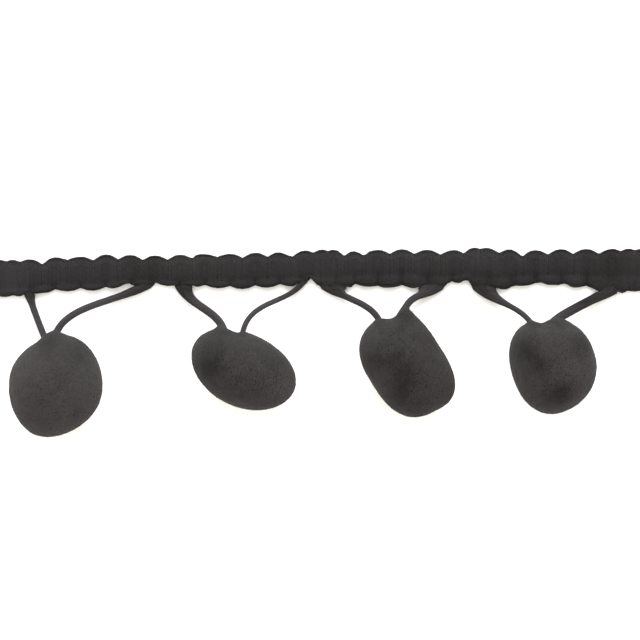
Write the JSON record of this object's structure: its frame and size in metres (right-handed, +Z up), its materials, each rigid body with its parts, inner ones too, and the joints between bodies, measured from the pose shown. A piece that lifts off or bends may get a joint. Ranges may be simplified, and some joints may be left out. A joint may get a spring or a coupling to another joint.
{
  "type": "pom pom trim",
  "caption": "Cut length of pom pom trim: a narrow scalloped braid heading with soft cut-pile yarn balls hung from its lower edge on pairs of thin yarn hangers.",
  "frame": {"origin": "middle of the trim's outline, on the surface it lies on", "axes": "+X along the trim's length, +Y from the balls to the heading, +Z up from the surface"},
  "size_m": [0.1446, 0.0406, 0.0196],
  "materials": {
    "braid": "matte charcoal gimp braid",
    "hanger_yarn": "matte charcoal yarn",
    "pile": "soft charcoal cut pile"
  },
  "bodies": {
    "root": {"heading": "braid", "hanger_1_left": "hanger_yarn", "hanger_1_right": "hanger_yarn", "hanger_2_left": "hanger_yarn", "hanger_2_right": "hanger_yarn", "hanger_3_left": "hanger_yarn", "hanger_3_right": "hanger_yarn", "hanger_4_left": "hanger_yarn", "hanger_4_right": "hanger_yarn", "pom_1": "pile", "pom_2": "pile", "pom_3": "pile", "pom_4": "pile"}
  },
  "joints": []
}
